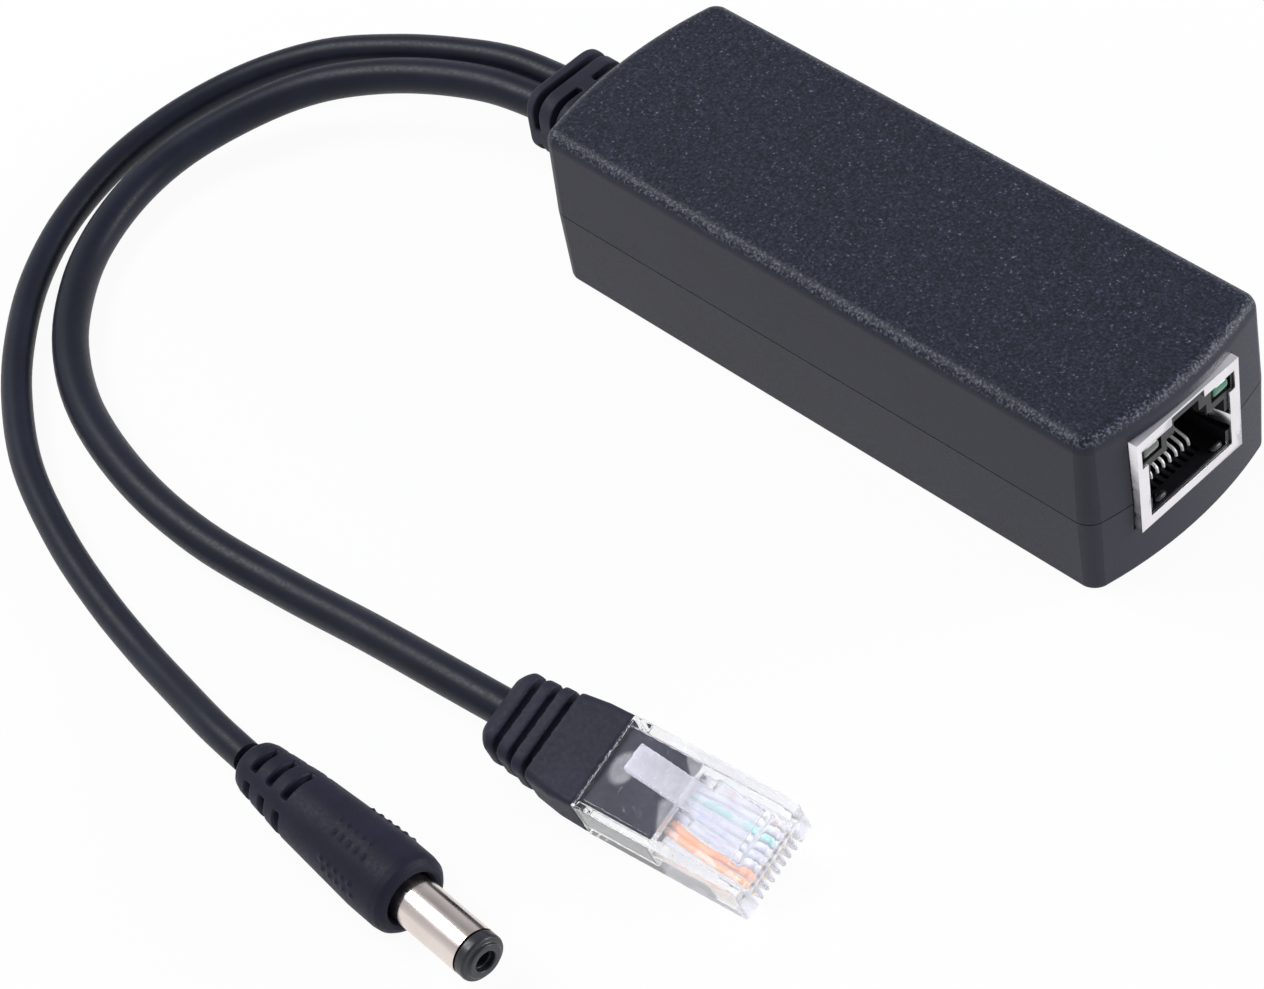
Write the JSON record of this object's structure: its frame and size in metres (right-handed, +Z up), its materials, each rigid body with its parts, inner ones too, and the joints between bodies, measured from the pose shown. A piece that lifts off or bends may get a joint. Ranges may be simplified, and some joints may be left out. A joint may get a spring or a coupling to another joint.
{
  "type": "poe splitter",
  "caption": "Bow-ended charcoal case with a shielded network jack at one end and a moulded strain relief at the other, from which a data lead and a power lead with plugs run.",
  "frame": {"origin": "centre of the case's flat base, which stands on the table", "axes": "+X along the case towards the jack; +Y across the case, away from the side where the leads lie; +Z up"},
  "size_m": [0.14, 0.1097, 0.0224],
  "materials": {
    "case": "moulded ABS, charcoal with a blue cast: coarse sparkling grain on the top, finer and smoother on the sides",
    "lead_jacket": "soft black PVC with a satin sheen",
    "board": "glass-epoxy board under green solder mask",
    "shield": "tinned sheet steel, rolled, bright at the cut edges",
    "insulator": "black moulded thermoplastic, slightly glossy",
    "contact": "gold-plated phosphor bronze",
    "lamp_clear": "clear moulded lamp body, glossy",
    "lamp_green": "green tinted lamp body, glossy",
    "package": "black epoxy package with matt faces",
    "ferrite": "dark grey sintered ferrite",
    "bobbin": "bobbin wound with tape over enamelled wire",
    "can": "aluminium can in a dark plastic sleeve",
    "lead_red": "red insulated core",
    "lead_black": "black insulated core",
    "lead_white": "colour-coded insulated cores in a white connector",
    "plug_metal": "nickel-plated brass, turned and polished",
    "clear_plastic": "water-clear moulded polycarbonate with bright edges",
    "wire_orange": "orange insulation",
    "wire_blue": "blue insulation",
    "wire_teal": "green insulation",
    "wire_brown": "brown insulation",
    "wire_white": "white insulation with a coloured stripe"
  },
  "bodies": {
    "root": {"upper_case": "case", "lower_case": "case", "strain_relief": "lead_jacket", "circuit_board": "board", "jack_shield": "shield", "jack_housing": "insulator", "jack_contact_1": "contact", "jack_contact_2": "contact", "jack_contact_3": "contact", "jack_contact_4": "contact", "jack_contact_5": "contact", "jack_contact_6": "contact", "jack_contact_7": "contact", "jack_contact_8": "contact", "jack_lamp_left": "lamp_clear", "jack_lamp_right": "lamp_green", "line_transformer": "package", "power_core": "ferrite", "power_winding": "bobbin", "input_capacitor": "can", "output_capacitor": "can", "choke": "ferrite", "bridge_rectifier_1": "package", "bridge_rectifier_2": "package", "controller_chip": "package", "output_diode": "package", "dc_lead_positive": "lead_red", "dc_lead_negative": "lead_black", "data_leads": "lead_white", "dc_cord": "lead_jacket", "dc_plug_grip": "lead_jacket", "dc_plug_barrel": "plug_metal", "dc_plug_tip": "insulator", "dc_plug_contact": "plug_metal", "data_cord": "lead_jacket", "data_plug_boot": "lead_jacket", "data_plug_housing": "clear_plastic", "data_plug_contact_1": "contact", "data_plug_contact_2": "contact", "data_plug_contact_3": "contact", "data_plug_contact_4": "contact", "data_plug_contact_5": "contact", "data_plug_contact_6": "contact", "data_plug_contact_7": "contact", "data_plug_contact_8": "contact", "data_plug_wire_1": "wire_white", "data_plug_wire_2": "wire_orange", "data_plug_wire_3": "wire_white", "data_plug_wire_4": "wire_blue", "data_plug_wire_5": "wire_white", "data_plug_wire_6": "wire_teal", "data_plug_wire_7": "wire_white", "data_plug_wire_8": "wire_brown"}
  },
  "joints": []
}
